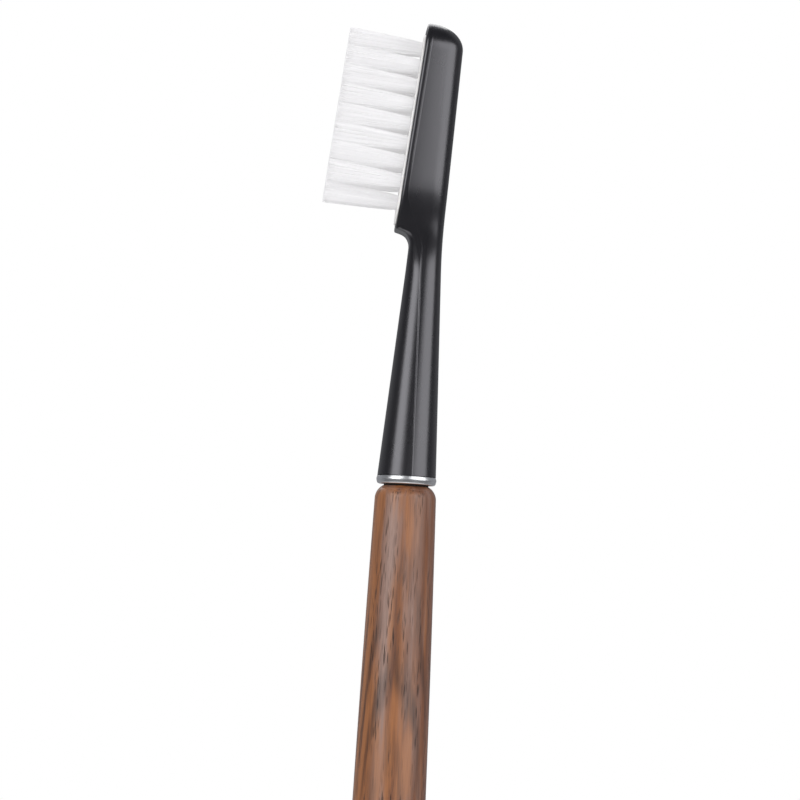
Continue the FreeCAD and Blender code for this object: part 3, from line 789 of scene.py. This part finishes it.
white_nylon = nylon()
tuft_faces = filament_faces()
for row, count in enumerate(TUFTS_PER_ROW):
    for column in range((TUFT_COLUMNS - count) // 2, (TUFT_COLUMNS + count) // 2):
        place_along = FIELD_MIDDLE + TUFT_PITCH * (OUTER_ROW - row)
        place_across = TUFT_SPREAD * (column - OUTER_COLUMN)
        node = f"tuft_row{row + 1}_column{column + 1}"
        bundle = filament_bundle(place_along, place_across)
        points = bundle.reshape(-1, 3)
        tuft = piece(f"nylon_{node}", points, tuft_faces, white_nylon, FILAMENT_SHARP_ANGLE)
        strand = np.repeat(draws.uniform(0, 1, FILAMENTS), bundle.shape[1]).astype(np.float32)
        tuft.data.attributes.new("strand", "FLOAT", "POINT").data.foreach_set("value", strand)
        # Nylon lets light through, so the tufts are kept from darkening each other.
        tuft.visible_diffuse = False
        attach(tuft, "brush_head")
        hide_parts(node)

# Mat: the rear ends of the tufts, melted together by a hot plate.
# It locks the tufts behind the plate and is hidden in the recess.
MAT_WHITE = (232, 230, 224)
MAT_CREAM = (216, 210, 196)
MAT_ROUGHNESS = 0.3
LUMP_GRAIN = (0.7, 0.7, 0.7)
LUMP_DEPTH = 0.06


def melted():
    """Melted nylon: cloudy cream patches and a lumpy, half-gloss skin."""
    material, shader, place = finish("melted_nylon", {"IOR": 1.53})
    lumps = cloud(place, LUMP_GRAIN, 3.0)
    blend(ease(lumps, 0.3, 0.7), paint(*MAT_WHITE), paint(*MAT_CREAM)).into(shader, "Base Color")
    (MAT_ROUGHNESS + lumps * 0.3).into(shader, "Roughness")
    relief(shader, lumps, LUMP_DEPTH)
    return material


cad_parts["fused_mat"].data.materials.clear()
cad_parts["fused_mat"].data.materials.append(melted())

# Plate: white plastic, moulded with a hole for each tuft and a slightly rounded rim.
# It is welded into the recess of the head and stands a little proud of it.
PLATE_WHITE = (250, 249, 248)
PLATE_SHADE = (242, 240, 238)
PLATE_ROUGHNESS = 0.3
PLATE_FLOW_GRAIN = (4, 4, 8)
PLATE_GRAIN = (0.15, 0.15, 0.15)
PLATE_GRAIN_DEPTH = 0.004


def white_plate():
    """White plastic, half gloss, with a faint cloudiness and a fine moulded grain."""
    material, shader, place = finish("white_plastic", {"IOR": 1.5})
    flow = cloud(place, PLATE_FLOW_GRAIN, 3.0)
    grain = cloud(place, PLATE_GRAIN)
    blend(ease(flow, 0.3, 0.75), paint(*PLATE_WHITE), paint(*PLATE_SHADE)).into(shader, "Base Color")
    (PLATE_ROUGHNESS + grain * 0.15).into(shader, "Roughness")
    relief(shader, grain, PLATE_GRAIN_DEPTH)
    return material


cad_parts["tuft_plate"].data.materials.clear()
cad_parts["tuft_plate"].data.materials.append(white_plate())

# Studio: two softboxes in front with dimmer strips at their inner edges, a weaker one behind, and a
# pale floor that fades into white. A ring and a ceiling of dark card, lighter behind the brush, show
# only in gloss, and give the black plastic and the chrome their dark bands.
CENTRE = Vector((-1.6, 0.0, 125.0)) * MM
FRONT_ELEVATION = 16
FRONT_DISTANCE = 0.7
FRONT_HEIGHT = 0.56
# Each lamp in front: its name, azimuth in degrees, width in metres and radiance.
FRONT_LAMPS = (
    ("left_softbox", -45, 0.46, 2.85),
    ("left_edge", -22, 0.12, 1.0),
    ("right_softbox", 52, 0.64, 2.2),
    ("right_edge", 20, 0.185, 1.3),
)
RAYS = ("Is Camera Ray", "Is Glossy Ray", "Is Transmission Ray")
FILL = 0.46
CARD_TONE = (88, 89, 92)
CARD_BACK_TONE = (142, 143, 146)
CARD_REACH = 950.0
CARD_FADE_START = -0.1 * CARD_REACH
CARD_FADE_END = 0.6 * CARD_REACH
CARD_ROWS = 6
CARD_COLUMNS = 61
CEILING_RADIUS = 1.5 * CARD_REACH
CEILING_HOLE = 1.0
CEILING_RINGS = 6
CEILING_AROUND = 48
FLOOR_RADIUS = 420.0
FLOOR_HOLE = 2.0
FLOOR_LEVEL = -0.1
FLOOR_THICKNESS = 1.0
FLOOR_FADE_START = 0.35 * FLOOR_RADIUS
FLOOR_FADE_END = 0.97 * FLOOR_RADIUS
FLOOR_RINGS = 24
FLOOR_AROUND = 96
FLOOR_TONE = (236, 236, 236)
FLOOR_SPECKLE = (228, 228, 228)
SPECKLE_GRAIN = (60, 60, 60)
FLOOR_GLOW = (0.4, 0.4, 0.4, 1)


def bearing(azimuth, elevation):
    """The direction of a place round the brush: azimuth 0 is in front of its left side."""
    turn, lift = math.radians(azimuth), math.radians(elevation)
    return Vector((math.sin(turn) * math.cos(lift), -math.cos(turn) * math.cos(lift), math.sin(lift)))


def softbox(name, azimuth, elevation, distance, width, height, radiance):
    """A lamp that faces the brush. Its power is its radiance times its area times pi."""
    light = bpy.data.lights.new(name, "AREA")
    light.shape = "RECTANGLE"
    light.size, light.size_y = width, height
    light.energy = math.pi * width * height * radiance
    lamp = bpy.data.objects.new(name, light)
    lamp.location = CENTRE + bearing(azimuth, elevation) * distance
    lamp.rotation_mode = "QUATERNION"
    lamp.rotation_quaternion = (-bearing(azimuth, elevation)).to_track_quat("-Z", "Y")
    bpy.context.scene.collection.objects.link(lamp)


def shows_background(light_path):
    """1 for the rays that show the white background: those of the camera, gloss and glass."""
    camera, glossy, clear = light_path
    return camera.math("MAXIMUM", camera.math("MAXIMUM", camera, glossy), clear)


for lamp_name, azimuth, width, radiance in FRONT_LAMPS:
    softbox(lamp_name, azimuth, FRONT_ELEVATION, FRONT_DISTANCE, width, FRONT_HEIGHT, radiance)
softbox("back_softbox", azimuth=195, elevation=40, distance=0.9, width=0.8, height=0.5, radiance=2.0)

world = bpy.data.worlds.new("white_studio")
bpy.context.scene.world = world
world.use_nodes = True
background = world.node_tree.nodes["Background"]
background.inputs["Color"].default_value = (1, 1, 1, 1)
path = world.node_tree.nodes.new("ShaderNodeLightPath")
shown = shows_background([Tone(path.outputs[name]) for name in RAYS])
(FILL + shown * (1 - FILL)).into(background, "Strength")

card_constants = {"Base Color": (0, 0, 0, 1), "Specular IOR Level": 0.0, "Emission Strength": 1.0}
card, card_shader, card_place = finish("dark_card", card_constants)
card_depth = card_place.node("ShaderNodeSeparateXYZ", {}, {"Vector": card_place}, "Y")
behind_brush = ease(card_depth, CARD_FADE_START, CARD_FADE_END)
blend(behind_brush, paint(*CARD_TONE), paint(*CARD_BACK_TONE)).into(card_shader, "Emission Color")
card_turn = np.radians(np.linspace(-180, 180, CARD_COLUMNS))[None, :]
card_level = np.linspace(-CARD_REACH, CARD_REACH, CARD_ROWS)[:, None]
card_grid = np.stack(np.broadcast_arrays(
    CARD_REACH * np.sin(card_turn), -CARD_REACH * np.cos(card_turn), card_level), axis=2)
card_faces = ring_faces(CARD_ROWS, CARD_COLUMNS, False).reshape(CARD_ROWS - 1, CARD_COLUMNS, 4)
wall_faces = card_faces[:, :-1].reshape(-1, 4).tolist()
cards = [piece("dark_cards", card_grid.reshape(-1, 3), wall_faces, card)]
ceiling_profile = line((CEILING_RADIUS, CARD_REACH), (CEILING_HOLE, CARD_REACH), CEILING_RINGS)
ceiling = turned(ceiling_profile, CEILING_AROUND).reshape(-1, 3)
ceiling_faces = ring_faces(CEILING_RINGS, CEILING_AROUND, False).tolist()
cards.append(piece("dark_ceiling", ceiling, ceiling_faces, card))
for made in cards:
    made.visible_camera = False
    made.visible_diffuse = False
    made.visible_transmission = False
    made.visible_shadow = False

matt = {"Roughness": 0.9, "Specular IOR Level": 0.0, "Emission Strength": 1.0}
floor_finish, floor_shader, floor_place = finish("pale_floor", matt)
spread = floor_place.node("ShaderNodeVectorMath", {"operation": "LENGTH"}, {0: floor_place}, "Value")
speckle = cloud(floor_place, SPECKLE_GRAIN)
blend(speckle * 0.3, paint(*FLOOR_TONE), paint(*FLOOR_SPECKLE)).into(floor_shader, "Base Color")
(1 - ease(spread, FLOOR_FADE_START, FLOOR_FADE_END)).into(floor_shader, "Alpha")
floor_path = floor_finish.node_tree.nodes.new("ShaderNodeLightPath")
floor_seen = shows_background([Tone(floor_path.outputs[name]) for name in RAYS])
blend(floor_seen, (0, 0, 0, 1), FLOOR_GLOW).into(floor_shader, "Emission Color")
floor_profile = line((FLOOR_HOLE, FLOOR_LEVEL), (FLOOR_RADIUS, FLOOR_LEVEL), FLOOR_RINGS)[::-1]
floor_poles = [(0, 0, FLOOR_LEVEL - FLOOR_THICKNESS), (0, 0, FLOOR_LEVEL)]
floor = closed_skin("pale_floor", turned(floor_profile, FLOOR_AROUND), floor_poles, floor_finish)
floor.visible_glossy = False

# Camera: a long lens in front of the brush's left side, a little below the ring's height.
# It is turned so that the brush leans to the right, as it does in the photograph.
CAMERA_AZIMUTH = -2.0
CAMERA_ELEVATION = -3.25
CAMERA_ROLL = math.radians(3.1)
CAMERA_DISTANCE = 0.6667
FOCAL_LENGTH = 200.0
SENSOR_WIDTH = 36.0
NEAR_CLIP = 0.01
FAR_CLIP = 20.0
lens = bpy.data.cameras.new("long_lens")
lens.lens = FOCAL_LENGTH
lens.sensor_width = SENSOR_WIDTH
lens.clip_start, lens.clip_end = NEAR_CLIP, FAR_CLIP
camera = bpy.data.objects.new("long_lens", lens)
towards = bearing(CAMERA_AZIMUTH, CAMERA_ELEVATION)
camera.location = CENTRE + towards * CAMERA_DISTANCE
camera.rotation_mode = "QUATERNION"
turn_upright = (-towards).to_track_quat("-Z", "Y")
camera.rotation_quaternion = turn_upright @ Quaternion((0, 0, 1), CAMERA_ROLL)
bpy.context.scene.collection.objects.link(camera)
bpy.context.scene.camera = camera
bpy.context.scene.view_settings.view_transform = "Standard"
